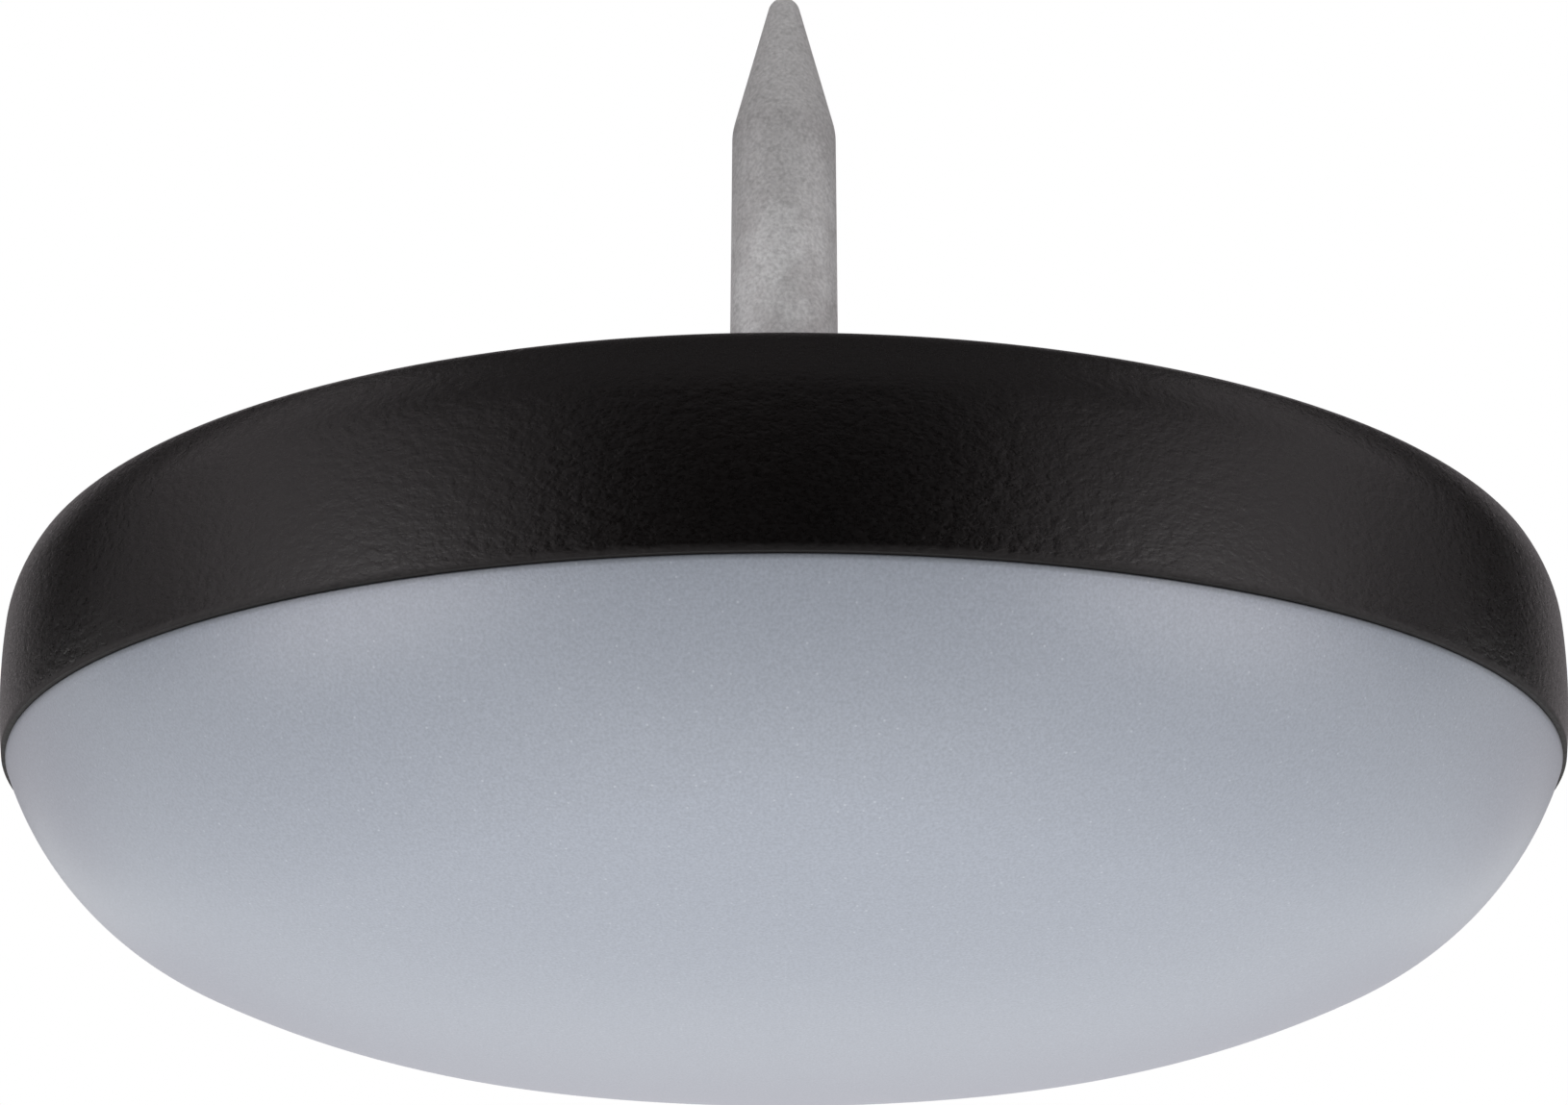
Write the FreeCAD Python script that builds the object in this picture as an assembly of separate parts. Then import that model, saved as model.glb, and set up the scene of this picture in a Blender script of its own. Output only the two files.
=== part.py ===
import FreeCAD
import Part

import math
import os

# Nail on furniture glide, in millimetres.
# Z runs up the nail. The origin is on the nail's axis, at the lowest point of the sliding face,
# so the floor is the plane z = 0 and the furniture sits on the top face of the body.

# Moulded body: a low barrel with a closed top
body_diameter = 25.4        # at its widest level
wall_height = 2.86          # from the parting line with the slider up to the top face
widest_height = 1.93        # the widest level, above the parting line
lower_wall_radius = 10.0    # of the wall's outward curve below the widest level, in section
shoulder_wall_radius = 1.8  # of its tighter curve above the widest level
web_thickness = 1.55        # the plastic that the nail goes through
top_edge_chamfer = 0.13
lip_chamfer = 0.05          # where the wall turns in to the parting line
hole_chamfer = 0.2          # round the nail, on the top face

# Recess under the web, wider inside than at its mouth, so that the slider snaps in
mouth_diameter = 20.0
undercut = 0.3              # how far the recess widens from its mouth to its ceiling

# Sliding pad: a dome of three arcs, each flatter than the one outside it.
# Slopes are in degrees from the level. The last arc ends level on the axis, so its radius follows.
rim_setback = 0.05          # how far the pad stays inside the body at the parting line
rim_slope = 66.9            # where the dome leaves the parting line
edge_radius = 5.43
edge_end_slope = 23.4
flank_radius = 16.6
flank_end_slope = 7.5
rim_chamfer = 0.03
plug_clearance = 0.05       # all round the plug, in the recess
plug_lead_in = 0.25         # chamfer on the plug's top edge

# Nail, with its flat head under the web
shank_diameter = 2.0
neck_diameter = 2.6         # upset under the head, and as long as the web is thick
nail_length = 15.4          # from the underside of the head to the tip
point_length = 3.12
tip_radius = 0.32
shoulder_radius = 1.4       # where the shank turns into the point
head_diameter = 5.2
head_thickness = 0.9
head_chamfer = 0.2
head_clearance = 0.15       # round and below the head, in the plug's pocket


def wall_r(rise):
    """Outer radius of the body's barrel wall, at a height above the parting line."""
    radius = shoulder_wall_radius if rise > widest_height else lower_wall_radius
    return body_diameter / 2 - radius + math.sqrt(radius ** 2 - (rise - widest_height) ** 2)


def arc_reach(radius, slope, end_slope):
    """How far inwards an arc of the dome runs between two slopes."""
    return radius * (math.sin(math.radians(slope)) - math.sin(math.radians(end_slope)))


def arc_drop(radius, slope, end_slope):
    """How far down an arc of the dome runs between two slopes."""
    return radius * (math.cos(math.radians(end_slope)) - math.cos(math.radians(slope)))


# The dome's arcs, from the rim to the axis, as radius, slope at the start and slope at the end
rim_r = wall_r(0) - rim_setback
edge_arc = (edge_radius, rim_slope, edge_end_slope)
flank_arc = (flank_radius, edge_end_slope, flank_end_slope)
crown_reach = rim_r - arc_reach(*edge_arc) - arc_reach(*flank_arc)
crown_arc = (crown_reach / math.sin(math.radians(flank_end_slope)), flank_end_slope, 0)
dome_arcs = (edge_arc, flank_arc, crown_arc)

# Levels and radii that follow
parting_z = sum(arc_drop(*arc) for arc in dome_arcs)
top_z = parting_z + wall_height
ceiling_z = top_z - web_thickness
tip_z = ceiling_z + nail_length
shoulder_z = tip_z - point_length
shank_r = shank_diameter / 2
neck_r = neck_diameter / 2
head_r = head_diameter / 2
mouth_r = mouth_diameter / 2


def at(r, z):
    """A point of a section, by its radius and height."""
    return FreeCAD.Vector(r, 0, z)


def outline(*points):
    """Straight edges from each point to the next."""
    return [Part.LineSegment(a, b).toShape() for a, b in zip(points, points[1:])]


def revolved(edges):
    """The solid that a closed section makes when it turns about the nail's axis."""
    face = Part.Face(Part.Wire(edges))
    return face.revolve(FreeCAD.Vector(0, 0, 0), FreeCAD.Vector(0, 0, 1), 360)


def circle_edge(solid, r, z):
    """The solid's circular edge with that radius at that height."""
    near = 1e-4
    for edge in solid.Edges:
        if edge.Degenerated or not isinstance(edge.Curve, Part.Circle):
            continue
        if abs(edge.Curve.Radius - r) < near and abs(edge.Curve.Center.z - z) < near:
            return edge
    raise ValueError(f"no circle of radius {r:.3f} at height {z:.3f}")


def rounded(solid, radius, r, z):
    return solid.makeFillet(radius, [circle_edge(solid, r, z)])


def chamfered(solid, size, r, z):
    return solid.makeChamfer(size, [circle_edge(solid, r, z)])


def make_body():
    """Barrel wall, flat top, and the dovetailed recess that holds the slider."""
    bottom = at(wall_r(0), parting_z)
    low = at(wall_r(widest_height / 2), parting_z + widest_height / 2)
    widest = at(body_diameter / 2, parting_z + widest_height)
    shoulder_rise = (widest_height + wall_height) / 2
    shoulder = at(wall_r(shoulder_rise), parting_z + shoulder_rise)
    top = at(wall_r(wall_height), top_z)
    wall = [Part.Arc(bottom, low, widest).toShape(), Part.Arc(widest, shoulder, top).toShape()]
    inside = outline(
        top,
        at(neck_r, top_z),
        at(neck_r, ceiling_z),
        at(mouth_r + undercut, ceiling_z),
        at(mouth_r, parting_z),
        bottom,
    )
    body = revolved(wall + inside)
    body = chamfered(body, top_edge_chamfer, top.x, top_z)
    body = chamfered(body, lip_chamfer, bottom.x, parting_z)
    return chamfered(body, hole_chamfer, neck_r, top_z)


def dome_edge(start, radius, slope, end_slope):
    """An arc of the dome that leaves a point inwards and down at one slope and ends at another."""
    angle = math.radians(slope)
    centre = start + at(-radius * math.sin(angle), radius * math.cos(angle))
    middle, end = (
        centre + at(radius * math.sin(turn), -radius * math.cos(turn))
        for turn in (math.radians((slope + end_slope) / 2), math.radians(end_slope))
    )
    return Part.Arc(start, middle, end).toShape(), end


def make_slider():
    """Dome below the parting line, and above it the plug, with a pocket for the nail's head."""
    rim = at(rim_r, parting_z)
    dome = []
    end = rim
    for arc in dome_arcs:
        edge, end = dome_edge(end, *arc)
        dome.append(edge)
    pocket_r = head_r + head_clearance
    pocket_z = ceiling_z - head_thickness - head_clearance
    plug_top_r = mouth_r + undercut - plug_clearance
    inside = outline(
        end,
        at(0, pocket_z),
        at(pocket_r, pocket_z),
        at(pocket_r, ceiling_z),
        at(plug_top_r, ceiling_z),
        at(mouth_r - plug_clearance, parting_z),
        rim,
    )
    slider = revolved(dome + inside)
    slider = chamfered(slider, rim_chamfer, rim_r, parting_z)
    return chamfered(slider, plug_lead_in, plug_top_r, ceiling_z)


def make_nail():
    """Flat head, upset neck, round shank and a conical point with a blunt, rounded tip."""
    shoulder = at(shank_r, shoulder_z)
    tip_centre = at(0, tip_z - tip_radius)
    reach = tip_centre - shoulder
    lean = math.atan2(shank_r, reach.z) - math.asin(tip_radius / reach.Length)
    touch, tip_middle = (
        tip_centre + at(tip_radius * math.cos(turn), tip_radius * math.sin(turn))
        for turn in (lean, (lean + math.pi / 2) / 2)
    )
    tip = Part.Arc(touch, tip_middle, at(0, tip_z)).toShape()
    head_z = ceiling_z - head_thickness
    inside = outline(
        at(0, tip_z),
        at(0, head_z),
        at(head_r, head_z),
        at(head_r, ceiling_z),
        at(neck_r, ceiling_z),
        at(neck_r, top_z),
        at(shank_r, top_z),
        shoulder,
        touch,
    )
    nail = revolved(inside + [tip])
    nail = rounded(nail, shoulder_radius, shank_r, shoulder_z)
    return chamfered(nail, head_chamfer, head_r, head_z)


os.makedirs("parts", exist_ok=True)
nodes = {
    "body": make_body(),
    "slider": make_slider(),
    "nail": make_nail(),
}
for name, solid in nodes.items():
    solid.exportStep(os.path.join("parts", name + ".step"))
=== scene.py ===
import math

import bmesh
import bpy
from mathutils import Matrix, Vector


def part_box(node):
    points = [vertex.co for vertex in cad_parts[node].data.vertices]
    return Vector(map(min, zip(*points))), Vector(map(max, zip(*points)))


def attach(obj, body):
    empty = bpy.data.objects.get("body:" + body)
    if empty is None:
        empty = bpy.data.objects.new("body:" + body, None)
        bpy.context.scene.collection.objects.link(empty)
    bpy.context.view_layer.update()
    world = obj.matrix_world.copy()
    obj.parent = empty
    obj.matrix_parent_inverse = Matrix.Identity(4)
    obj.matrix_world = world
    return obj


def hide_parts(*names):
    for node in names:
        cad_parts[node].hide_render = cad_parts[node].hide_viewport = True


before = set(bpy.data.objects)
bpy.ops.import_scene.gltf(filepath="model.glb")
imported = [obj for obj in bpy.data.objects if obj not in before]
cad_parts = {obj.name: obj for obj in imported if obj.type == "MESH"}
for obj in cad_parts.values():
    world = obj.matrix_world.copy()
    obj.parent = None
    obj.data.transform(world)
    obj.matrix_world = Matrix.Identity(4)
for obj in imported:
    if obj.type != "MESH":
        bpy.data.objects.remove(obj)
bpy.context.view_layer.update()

# Sizes are in millimetres and the meshes are scaled to metres at the end.
MM = 0.001


def level(node, corner):
    """Height of a CAD node's lowest (0) or highest (1) point."""
    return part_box(node)[corner].z / MM


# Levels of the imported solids
parting_z = level("body", 0)
top_z = level("body", 1)
ceiling_z = level("slider", 1)
head_z = level("nail", 0)
tip_z = level("nail", 1)

# Moulded body
body_r = 12.7
widest_height = 1.93        # above the parting line
lower_wall_radius = 10.0    # of the wall's outward curve below the widest level, in section
shoulder_wall_radius = 1.8  # of its tighter curve above the widest level
top_edge_radius = 0.3
lip_radius = 0.01           # where the wall turns in to the parting line
mouth_r = 10.0              # of the recess that holds the pad
undercut = 0.3
hole_r = 1.3
hole_chamfer = 0.2

# Sliding pad, a dome of three arcs. Slopes are in degrees from the level.
rim_setback = 0.05
rim_radius = 0.02           # the rounded edge that leaves a fine groove under the body's lip
rim_slope = 66.9
edge_radius = 5.43
edge_end_slope = 23.4
flank_radius = 16.6
flank_end_slope = 7.5
plug_clearance = 0.05
plug_lead_in = 0.25

# Nail
shank_r = 1.0
point_length = 3.12
tip_radius = 0.32
shoulder_radius = 1.4
head_r = 2.6
head_chamfer = 0.2
head_thickness = 0.9
head_clearance = 0.15
neck_depth = 0.5            # of the neck's end below the top face, where it tapers to the shank
shoulder_z = tip_z - point_length

TURNS = 288                 # steps round each turned piece
SHARP = math.radians(25)    # edges that turn more than this stay crisp
BORDER = 0.05               # strip beside a rounding, which keeps the shading past it even


class Section:
    """A section drawn point by point in radius and height, then turned about the nail's axis."""

    def __init__(self, r, z):
        self.mesh = bmesh.new()
        self.end = self.mesh.verts.new((r, 0, z))

    def line(self, r, z):
        """A straight run to a point."""
        drawn = bmesh.ops.extrude_vert_indiv(self.mesh, verts=[self.end])
        self.end = drawn["verts"][0]
        self.end.co = (r, 0, z)

    def arc(self, centre, turn, steps):
        """An arc about a centre. A positive turn goes from outwards to upwards."""
        middle = (centre[0], 0, centre[1])
        drawn = bmesh.ops.spin(
            self.mesh, geom=[self.end], cent=middle, axis=(0, -1, 0), angle=turn, steps=steps
        )
        self.end = drawn["geom_last"][0]

    def turned(self):
        """The closed surface, in metres, with its faces outwards and its corners crisp."""
        mesh = self.mesh
        bmesh.ops.spin(
            mesh,
            geom=mesh.verts[:] + mesh.edges[:],
            cent=(0, 0, 0),
            axis=(0, 0, 1),
            angle=math.tau,
            steps=TURNS,
            use_merge=True,
        )
        bmesh.ops.remove_doubles(mesh, verts=mesh.verts[:], dist=1e-4)
        bmesh.ops.recalc_face_normals(mesh, faces=mesh.faces[:])
        bmesh.ops.scale(mesh, vec=(MM, MM, MM), verts=mesh.verts[:])
        for face in mesh.faces:
            face.smooth = True
        for edge in mesh.edges:
            edge.smooth = edge.calc_face_angle(0) < SHARP
        return mesh


def add_object(name, mesh, material):
    """Puts a finished mesh in the scene."""
    data = bpy.data.meshes.new(name)
    mesh.to_mesh(data)
    mesh.free()
    data.materials.append(material)
    made = bpy.data.objects.new(name, data)
    bpy.context.scene.collection.objects.link(made)
    return made


def add_piece(name, mesh, material, node):
    """Puts a finished mesh in the scene in place of a CAD node."""
    piece = add_object(name, mesh, material)
    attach(piece, "root")
    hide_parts(node)


def heading(centre, point):
    """Angle of a point as seen from a centre, from outwards towards upwards."""
    return math.atan2(point[1] - centre[1], point[0] - centre[0])


def polar(centre, radius, angle):
    """A point by its distance and angle from a centre. A negative distance is on the far side."""
    return centre[0] + radius * math.cos(angle), centre[1] + radius * math.sin(angle)


def rounding_centre(centre, radius, z, rounding):
    """Centre of a rounding at a given height, inside an arc and touching it."""
    return centre[0] + math.sqrt((radius - rounding) ** 2 - (z - centre[1]) ** 2), z


def turned_body():
    """Barrel wall with a rounded lip and top edge, flat top, and the recess for the pad."""
    widest_z = parting_z + widest_height
    lower_centre = (body_r - lower_wall_radius, widest_z)
    shoulder_centre = (body_r - shoulder_wall_radius, widest_z)
    lip_z = parting_z + lip_radius
    lip = rounding_centre(lower_centre, lower_wall_radius, lip_z, lip_radius)
    edge_z = top_z - top_edge_radius
    top_edge = rounding_centre(shoulder_centre, shoulder_wall_radius, edge_z, top_edge_radius)
    wall_from = heading(lower_centre, lip)
    wall_to = heading(shoulder_centre, top_edge)

    section = Section(lip[0], parting_z)
    section.arc(lip, wall_from + math.pi / 2, 5)
    section.arc(lower_centre, -wall_from, 24)
    section.arc(shoulder_centre, wall_to, 20)
    section.arc(top_edge, math.pi / 2 - wall_to, 10)
    section.line(top_edge[0] - BORDER, top_z)
    section.line(hole_r + hole_chamfer + BORDER, top_z)
    section.line(hole_r + hole_chamfer, top_z)
    section.line(hole_r, top_z - hole_chamfer)
    section.line(hole_r, ceiling_z)
    section.line(mouth_r + undercut, ceiling_z)
    section.line(mouth_r, parting_z)
    section.line(lip[0] - BORDER, parting_z)
    section.line(lip[0], parting_z)
    return section.turned()


def turned_pad():
    """Dome with a rounded rim, and above it the plug, with a pocket for the nail's head."""
    lower_reach = math.sqrt(lower_wall_radius ** 2 - widest_height ** 2)
    rim_r = body_r - lower_wall_radius + lower_reach - rim_setback
    rim_turn = math.radians(rim_slope)
    edge_turn = math.radians(edge_end_slope)
    flank_turn = math.radians(flank_end_slope)
    down = math.pi / 2
    edge_centre = polar((rim_r, parting_z), -edge_radius, rim_turn - down)
    rim_centre = rounding_centre(edge_centre, edge_radius, parting_z - rim_radius, rim_radius)
    edge_from = heading(edge_centre, rim_centre)
    edge_end = polar(edge_centre, edge_radius, edge_turn - down)
    flank_centre = polar(edge_end, -flank_radius, edge_turn - down)
    flank_end = polar(flank_centre, flank_radius, flank_turn - down)
    crown_radius = flank_end[0] / math.sin(flank_turn)
    crown_centre = (0, flank_end[1] + crown_radius * math.cos(flank_turn))
    plug_top_r = mouth_r + undercut - plug_clearance
    pocket_r = head_r + head_clearance
    pocket_z = head_z - head_clearance

    section = Section(0, pocket_z)
    section.line(pocket_r, pocket_z)
    section.line(pocket_r, ceiling_z)
    section.line(plug_top_r - plug_lead_in, ceiling_z)
    section.line(plug_top_r, ceiling_z - plug_lead_in)
    section.line(mouth_r - plug_clearance, parting_z)
    section.line(rim_centre[0] - BORDER, parting_z)
    section.line(rim_centre[0], parting_z)
    section.arc(rim_centre, edge_from - down, 5)
    section.arc(edge_centre, edge_turn - down - edge_from, 28)
    section.arc(flank_centre, flank_turn - edge_turn, 16)
    section.arc(crown_centre, -flank_turn, 20)
    return section.turned()


def turned_nail():
    """Flat head, neck, round shank, and a conical point with a rounded shoulder and tip."""
    neck_z = top_z - neck_depth
    tip_centre = (0, tip_z - tip_radius)
    rise = tip_centre[1] - shoulder_z
    lean = math.atan2(shank_r, rise) - math.asin(tip_radius / math.hypot(shank_r, rise))
    bend_z = shoulder_z - shoulder_radius * math.tan(lean / 2)

    section = Section(0, head_z)
    section.line(head_r - head_chamfer, head_z)
    section.line(head_r, head_z + head_chamfer)
    section.line(head_r, head_z + head_thickness)
    section.line(hole_r, head_z + head_thickness)
    section.line(hole_r, neck_z)
    section.line(shank_r, neck_z + hole_r - shank_r)
    section.line(shank_r, bend_z - BORDER)
    section.line(shank_r, bend_z)
    section.arc((shank_r - shoulder_radius, bend_z), lean, 6)
    section.line(*polar(tip_centre, tip_radius, lean))
    section.arc(tip_centre, math.pi / 2 - lean, 10)
    return section.turned()


# Nearly all of a noise pattern's values lie between these two
NOISE_LOW = 0.3
NOISE_HIGH = 0.7


def linear(hex_colour):
    """Scene colour of an sRGB colour written as #RRGGBB."""
    shares = [int(hex_colour[i:i + 2], 16) / 255 for i in (1, 3, 5)]
    return [s / 12.92 if s <= 0.04045 else ((s + 0.055) / 1.055) ** 2.4 for s in shares] + [1]


def add_node(tree, kind, inputs, output=None, **settings):
    """Adds a shader node with its settings and links, and returns one of its outputs.

    The inputs go by name, or in the node's own order, such as a Map Range node's value, its old
    limits and its new ones. Each is a number, a colour or another node's output. Where a node has
    sockets that its settings leave unused, only the others count.
    """
    node = tree.nodes.new("ShaderNode" + kind)
    for name, value in settings.items():
        setattr(node, name, value)
    sockets = [socket for socket in node.inputs if socket.enabled]
    if isinstance(inputs, dict):
        sockets = [next(s for s in sockets if s.name == name) for name in inputs]
        inputs = inputs.values()
    for socket, value in zip(sockets, inputs):
        if isinstance(value, bpy.types.NodeSocket):
            tree.links.new(value, socket)
        else:
            socket.default_value = value
    return next((s for s in node.outputs if s.enabled and output in (None, s.name)), None)


def new_material(name):
    """A material without nodes."""
    material = bpy.data.materials.new(name)
    material.use_nodes = True
    material.node_tree.nodes.clear()
    return material


def moulded_polypropylene():
    """Black polypropylene, injection moulded in a spark eroded cavity.

    It is almost black in the shade, with a soft warm sheen broken up by a fine leathery grain. Just
    above the parting line it is rubbed matt.
    """
    grain_size = 0.065
    wrinkle_size = 0.18
    cloud_size = 3
    grain_length = 1.7          # times as long round the wall as up it
    grain_share = 0.5           # of the grain's depth in the wrinkles' depth
    relief = 0.011
    matt_width = 0.1
    matt_roughness = 0.4        # what the rubbing adds at the parting line

    material = new_material("black_moulded_polypropylene")
    tree = material.node_tree
    place = add_node(tree, "TexCoord", {}, "Object")
    along = add_node(tree, "Mapping", {"Vector": place, "Scale": (1, 1, grain_length)})
    fine = {"Vector": along, "Scale": 1 / (grain_size * MM), "Detail": 3, "Roughness": 0.6}
    grain = add_node(tree, "TexNoise", fine, "Fac")
    coarse = {"Vector": along, "Scale": 1 / (wrinkle_size * MM), "Detail": 2}
    wrinkle = add_node(tree, "TexNoise", coarse, "Fac")
    depth = add_node(tree, "Math", (grain, grain_share, wrinkle), operation="MULTIPLY_ADD")
    bump = add_node(tree, "Bump", {"Height": depth, "Distance": relief * MM, "Strength": 1})
    wide = {"Vector": place, "Scale": 1 / (cloud_size * MM), "Detail": 2}
    cloud = add_node(tree, "TexNoise", wide, "Fac")
    ends = (cloud, linear("#0A0909"), linear("#100D0C"))
    tint = add_node(tree, "Mix", ends, data_type="RGBA")
    height = add_node(tree, "SeparateXYZ", {"Vector": place}, "Z")
    matt_limits = (height, parting_z * MM, (parting_z + matt_width) * MM, matt_roughness, 0)
    matt = add_node(tree, "MapRange", matt_limits)
    grained = add_node(tree, "MapRange", (grain, NOISE_LOW, NOISE_HIGH, 0.22, 0.38))
    rough = add_node(tree, "Math", (grained, matt), operation="ADD")
    surface = {"Base Color": tint, "Roughness": rough, "IOR": 1.49, "Normal": bump}
    shader = add_node(tree, "BsdfPrincipled", surface)
    add_node(tree, "OutputMaterial", {"Surface": shader})
    return material


def sintered_ptfe():
    """Grey filled PTFE, pressed and sintered.

    It is matt, cool in colour and even, with a very fine powdery grain and a few pale specks. Its
    rim is darker towards the parting line: painted shade of the groove under the body's lip. The
    powder is too fine to show, so its grain is drawn as coarse as it needs to show.
    """
    powder_size = 0.036
    speck_spacing = 0.2
    speck_radius = 0.05         # as a share of the spacing, and half of it with the soft edge
    relief = 0.003
    rim_shade_width = 0.08
    rim_shade_tone = 0.3           # what the painted shade leaves of the colour at the parting line

    material = new_material("grey_sintered_ptfe")
    tree = material.node_tree
    place = add_node(tree, "TexCoord", {}, "Object")
    fine = {"Vector": place, "Scale": 1 / (powder_size * MM), "Detail": 2}
    powder = add_node(tree, "TexNoise", fine, "Fac")
    mixed = add_node(tree, "MapRange", (powder, NOISE_LOW, NOISE_HIGH, 0, 1))
    ends = (mixed, linear("#ADB3BF"), linear("#BDC3CF"))
    tint = add_node(tree, "Mix", ends, data_type="RGBA")
    cells = {"Vector": place, "Scale": 1 / (speck_spacing * MM)}
    from_speck = add_node(tree, "TexVoronoi", cells, "Distance")
    speck = add_node(tree, "MapRange", (from_speck, speck_radius, 2 * speck_radius, 1, 0))
    specked = add_node(tree, "Mix", (speck, tint, linear("#CDD2DB")), data_type="RGBA")
    height = add_node(tree, "SeparateXYZ", {"Vector": place}, "Z")
    # Painted shade: the colour darkens over the last band below the parting line, for the groove
    # under the body's lip
    rim_shade_limits = (height, (parting_z - rim_shade_width) * MM, parting_z * MM, 1, rim_shade_tone)
    rim_shade = add_node(tree, "MapRange", rim_shade_limits)
    colour = add_node(tree, "Mix", (1, specked, rim_shade), data_type="RGBA", blend_type="MULTIPLY")
    bump = add_node(tree, "Bump", {"Height": powder, "Distance": relief * MM, "Strength": 1})
    surface = {"Base Color": colour, "Roughness": 0.32, "IOR": 1.5, "Normal": bump}
    shader = add_node(tree, "BsdfPrincipled", surface)
    add_node(tree, "OutputMaterial", {"Surface": shader})
    return material


def zinc_plated_steel():
    """Drawn steel wire, barrel plated with zinc that has gone dull under its white film.

    It is a cloudy mid grey that spreads every reflection, with a finely pitted skin. The point is
    pinched to shape, and is darker and more even. The zinc's crystals are too fine to show, so
    its grain is drawn as coarse as it needs to show.
    """
    cloud_size = 1.1
    drift = (7.4, 5.7, -4.5)    # brings pale clouds to the lower half of the shank
    grain_size = 0.07
    pit_size = 0.2
    relief = 0.006
    dark_from = shoulder_z - 3.2
    dark_to = shoulder_z + 0.2

    material = new_material("dull_zinc_plated_steel")
    tree = material.node_tree
    place = add_node(tree, "TexCoord", {}, "Object")
    drifted = add_node(tree, "Mapping", {"Vector": place, "Location": [d * MM for d in drift]})
    wide = {"Vector": drifted, "Scale": 1 / (cloud_size * MM), "Detail": 3}
    cloud = add_node(tree, "TexNoise", wide, "Fac")
    fine = {"Vector": place, "Scale": 1 / (grain_size * MM), "Detail": 3}
    grain = add_node(tree, "TexNoise", fine, "Fac")
    pitted = {"Vector": place, "Scale": 1 / (pit_size * MM), "Detail": 4}
    pits = add_node(tree, "TexNoise", pitted, "Fac")
    height = add_node(tree, "SeparateXYZ", {"Vector": place}, "Z")
    on_point = add_node(tree, "MapRange", (height, dark_from * MM, dark_to * MM, 0, 1))
    clouded = add_node(tree, "MapRange", (cloud, 0.38, 0.62, 0, 1))
    ends = (clouded, linear("#DAD9D9"), linear("#F6F7F7"))
    clouds = add_node(tree, "Mix", ends, data_type="RGBA")
    tone = add_node(tree, "Mix", (on_point, clouds, linear("#C8C7C7")), data_type="RGBA")
    grained = add_node(tree, "MapRange", (grain, NOISE_LOW, NOISE_HIGH, 0.84, 1.12))
    in_pits = add_node(tree, "MapRange", (pits, 0.36, 0.46, 0.88, 1))
    shade = add_node(tree, "Math", (grained, in_pits), operation="MULTIPLY")
    colour = add_node(tree, "Mix", (1, tone, shade), data_type="RGBA", blend_type="MULTIPLY")
    bump = add_node(tree, "Bump", {"Height": grain, "Distance": relief * MM, "Strength": 1})
    surface = {"Base Color": colour, "Metallic": 0.5, "Roughness": 0.7, "Normal": bump}
    shader = add_node(tree, "BsdfPrincipled", surface)
    add_node(tree, "OutputMaterial", {"Surface": shader})
    return material


add_piece("moulded_body", turned_body(), moulded_polypropylene(), "body")
add_piece("sliding_pad", turned_pad(), sintered_ptfe(), "slider")
add_piece("steel_nail", turned_nail(), zinc_plated_steel(), "nail")

MIDDLE = Vector((0, 0, parting_z * MM))     # what the lamps and the camera are placed round


def towards(azimuth, elevation):
    """Unit vector from the object. Azimuth 0 is the camera's side and 90 is its right."""
    turn = math.radians(azimuth)
    lift = math.radians(elevation)
    out = math.cos(lift)
    return Vector((math.sin(turn) * out, -math.cos(turn) * out, math.sin(lift)))


def soft_box(name, azimuth, elevation, distance, width, height, brightness, in_gloss):
    """A flat lamp that faces the object. At brightness 1 its face is as bright as white paper."""
    lamp = bpy.data.lights.new(name, "AREA")
    lamp.shape = "RECTANGLE"
    lamp.size = width * MM
    lamp.size_y = height * MM
    lamp.energy = brightness * math.pi * lamp.size * lamp.size_y
    box = bpy.data.objects.new(name, lamp)
    way = towards(azimuth, elevation)
    box.location = way * distance * MM + MIDDLE
    box.rotation_euler = way.to_track_quat("Z", "Y").to_euler()
    box.visible_camera = False
    box.visible_glossy = in_gloss
    bpy.context.scene.collection.objects.link(box)


# Name, azimuth, elevation, distance, width, height, brightness, and whether gloss mirrors it
SOFT_BOXES = (
    ("strip_left", -52.5, -5, 180, 47, 63, 1.0, True),
    ("strip_right", 52.5, -5, 180, 47, 63, 1.0, True),
    ("rim_left", -58, -26, 250, 140, 78, 1.65, True),
    ("rim_right", 58, -26, 250, 140, 78, 1.65, True),
    ("low_front", 0, -50, 250, 200, 140, 1.38, False),
    ("below", 0, -90, 230, 260, 260, 1.78, False),
    ("high_left", -42, 62, 250, 250, 200, 1.5, False),
    ("high_right", 42, 62, 250, 250, 200, 1.5, False),
    ("above", 0, 90, 260, 300, 300, 1.1, False),
)
for row in SOFT_BOXES:
    soft_box(*row)


def one_sided_floor():
    """A near white floor that shows from above and fades into the white surroundings far out.

    From below it is clear, for the low camera.
    """
    floor_radius = 1500
    fade_from = 60
    fade_to = 150

    mesh = bmesh.new()
    bmesh.ops.create_circle(mesh, cap_ends=True, radius=floor_radius * MM, segments=96)
    material = new_material("pale_floor")
    tree = material.node_tree
    place = add_node(tree, "TexCoord", {}, "Object")
    reach = add_node(tree, "VectorMath", {"Vector": place}, "Value", operation="LENGTH")
    far = add_node(tree, "MapRange", (reach, fade_from * MM, fade_to * MM, 0, 1))
    under = add_node(tree, "NewGeometry", {}, "Backfacing")
    gone = add_node(tree, "Math", (far, under), operation="MAXIMUM")
    paint = add_node(tree, "BsdfDiffuse", {"Color": linear("#F4F4F4")})
    clear = add_node(tree, "BsdfTransparent", {})
    shader = add_node(tree, "MixShader", (gone, paint, clear))
    add_node(tree, "OutputMaterial", {"Surface": shader})
    floor = add_object("floor", mesh, material)
    floor.visible_diffuse = False
    floor.visible_glossy = False
    floor.visible_transmission = False
    floor.visible_shadow = False


one_sided_floor()

CARD_DISTANCE = 200
CARD_TINT = (1.0, 0.92, 0.95)   # a little warm, as the sheen on the wall is


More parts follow.
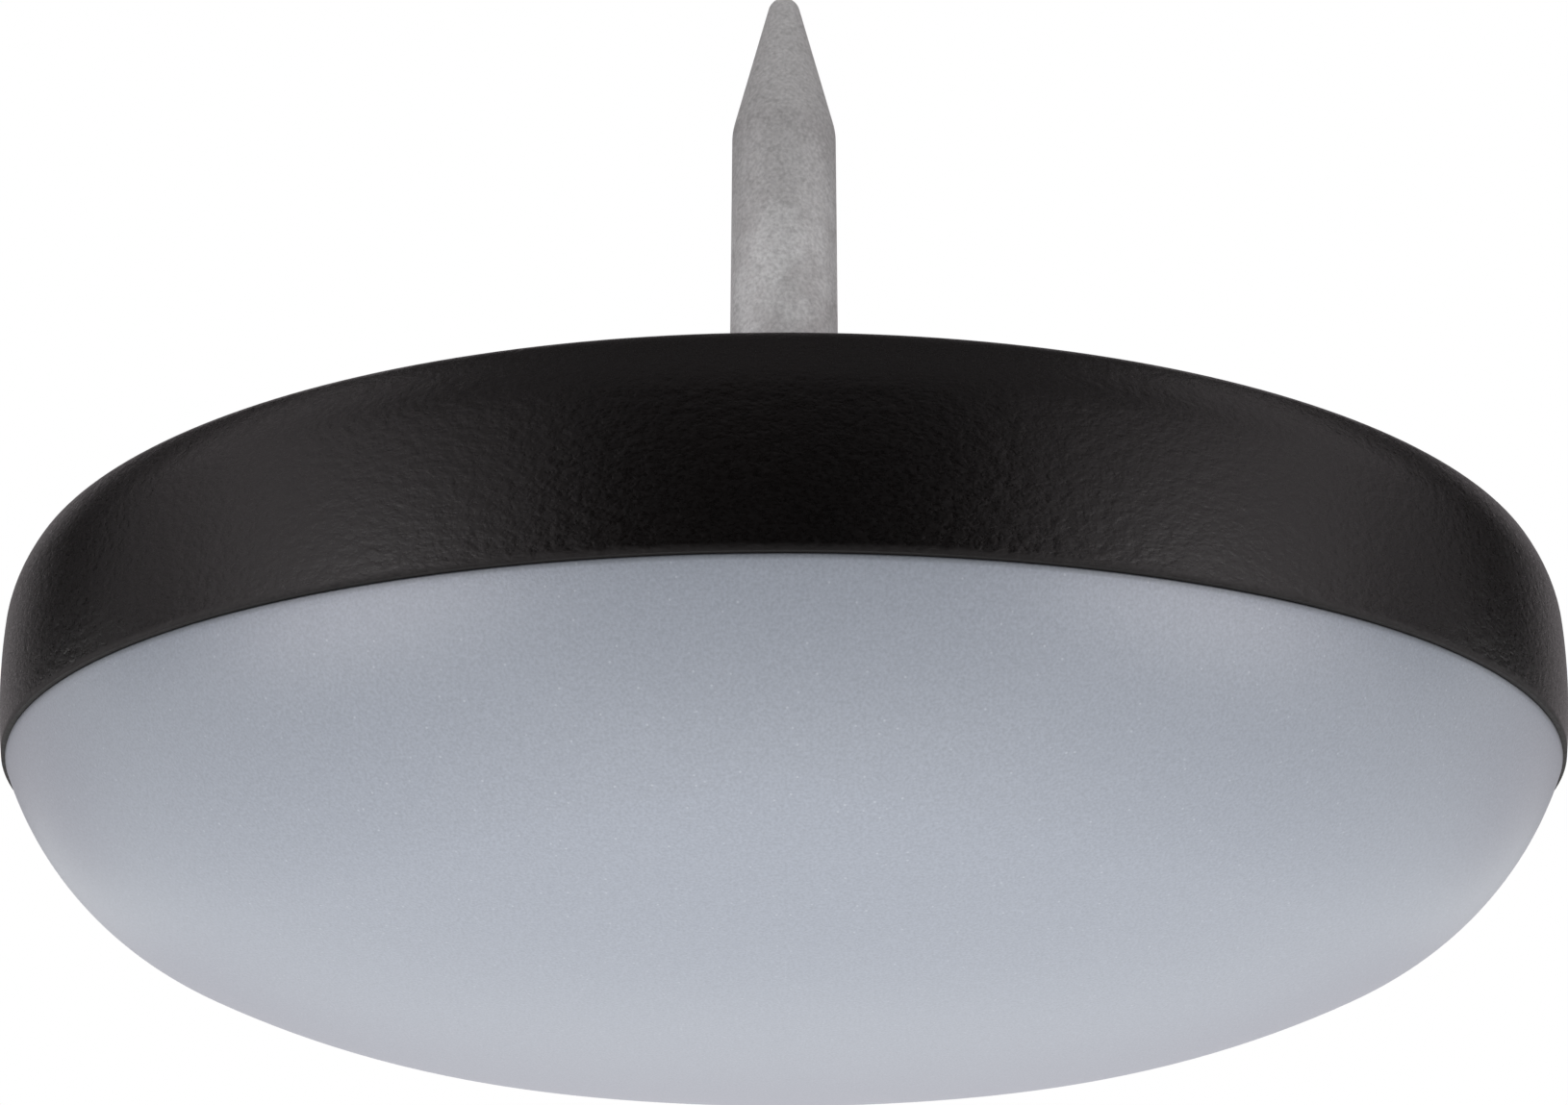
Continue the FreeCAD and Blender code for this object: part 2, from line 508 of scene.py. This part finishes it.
def grey_card(name, azimuths, elevations, grey):
    """A curved card round the object, between two azimuths and two elevations.

    Only gloss sees it, in place of the white surroundings, which are grey 1. A darker card keeps
    them out of the sheen on the dark wall, and a brighter one adds to it.
    """
    mesh = bmesh.new()
    low, high = (math.radians(angle) for angle in elevations)
    start, end = (math.radians(angle) for angle in azimuths)
    first = mesh.verts.new((0, -CARD_DISTANCE * math.cos(low), CARD_DISTANCE * math.sin(low)))
    bmesh.ops.spin(mesh, geom=[first], cent=(0, 0, 0), axis=(-1, 0, 0), angle=high - low, steps=6)
    to_start = Matrix.Rotation(start, 3, "Z")
    bmesh.ops.rotate(mesh, cent=(0, 0, 0), matrix=to_start, verts=mesh.verts[:])
    edges = mesh.verts[:] + mesh.edges[:]
    bmesh.ops.spin(mesh, geom=edges, cent=(0, 0, 0), axis=(0, 0, 1), angle=end - start, steps=8)
    bmesh.ops.scale(mesh, vec=(MM, MM, MM), verts=mesh.verts[:])
    bmesh.ops.translate(mesh, vec=MIDDLE, verts=mesh.verts[:])
    material = new_material(name)
    colour = [grey * share for share in CARD_TINT] + [1]
    face = add_node(material.node_tree, "Emission", {"Color": colour, "Strength": 1})
    add_node(material.node_tree, "OutputMaterial", {"Surface": face})
    card = add_object(name, mesh, material)
    card.visible_camera = False
    card.visible_diffuse = False
    card.visible_shadow = False


# Name, azimuths from and to, elevations from and to, and grey. Each has its mirror image too.
CARDS = (
    ("front_card", 0, 30, -15, 25, 0.0),
    ("front_side_card", 30, 45, -15, 25, 0.54),
    ("window_card", 45, 80, -15, 25, 0.77),
    ("side_card", 80, 100, 5, 25, 0.3),
    ("low_side_card", 80, 100, -15, 5, 0.08),
    ("rear_side_card", 100, 106, 5, 55, 0.14),
    ("rear_card", 106, 128, 5, 55, 0.0),
    ("end_card", 128, 180, 5, 55, 0.35),
    ("high_front_card", 0, 60, 25, 55, 0.2),
    ("high_side_card", 60, 100, 25, 55, 0.55),
    ("top_card", 0, 180, 55, 90, 0.12),
    ("low_front_card", 0, 35, -65, -15, 0.0),
    ("low_rear_card", 150, 180, -16, 5, 0.6),
    ("end_edge_card", 113, 140, -15, 5, 0.65),
    ("sheen_card", 38, 76, -26, -15, 3.6),
)
for name, start, end, low, high, grey in CARDS:
    for side, azimuths in (("right", (start, end)), ("left", (-end, -start))):
        grey_card(name + "_" + side, azimuths, (low, high), grey)

# White surroundings for what the camera sees and what gloss mirrors, and a low even fill
fill = 0.05
world = bpy.data.worlds.new("white_surroundings")
bpy.context.scene.world = world
world.use_nodes = True
sky = world.node_tree
sky.nodes.clear()
ray_kinds = ("Is Camera Ray", "Is Glossy Ray", "Is Transmission Ray")
seen, mirrored, through = (add_node(sky, "LightPath", {}, kind) for kind in ray_kinds)
either = add_node(sky, "Math", (seen, mirrored), operation="MAXIMUM")
white = add_node(sky, "Math", (either, through), operation="MAXIMUM")
strength = add_node(sky, "MapRange", (white, 0, 1, fill, 1))
background = add_node(sky, "Background", {"Color": linear("#FFFFFF"), "Strength": strength})
add_node(sky, "OutputWorld", {"Surface": background})

# The camera is close to the glide and below it, and looks up
camera_distance = 35.346    # from the nail's axis at the parting line
camera_drop = 14.112        # degrees below the level of the parting line
camera_tilt = 21.538        # degrees that it looks up
sensor_width = 36
focal_length = 47.51
lens = bpy.data.cameras.new("camera")
lens.sensor_width = sensor_width
lens.lens = focal_length
lens.clip_start = 1 * MM
lens.clip_end = 100_000 * MM
camera = bpy.data.objects.new("camera", lens)
camera.location = towards(0, -camera_drop) * camera_distance * MM + MIDDLE
camera.rotation_euler = (math.radians(90 + camera_tilt), 0, 0)
bpy.context.scene.collection.objects.link(camera)
bpy.context.scene.camera = camera
bpy.context.scene.view_settings.view_transform = "Standard"
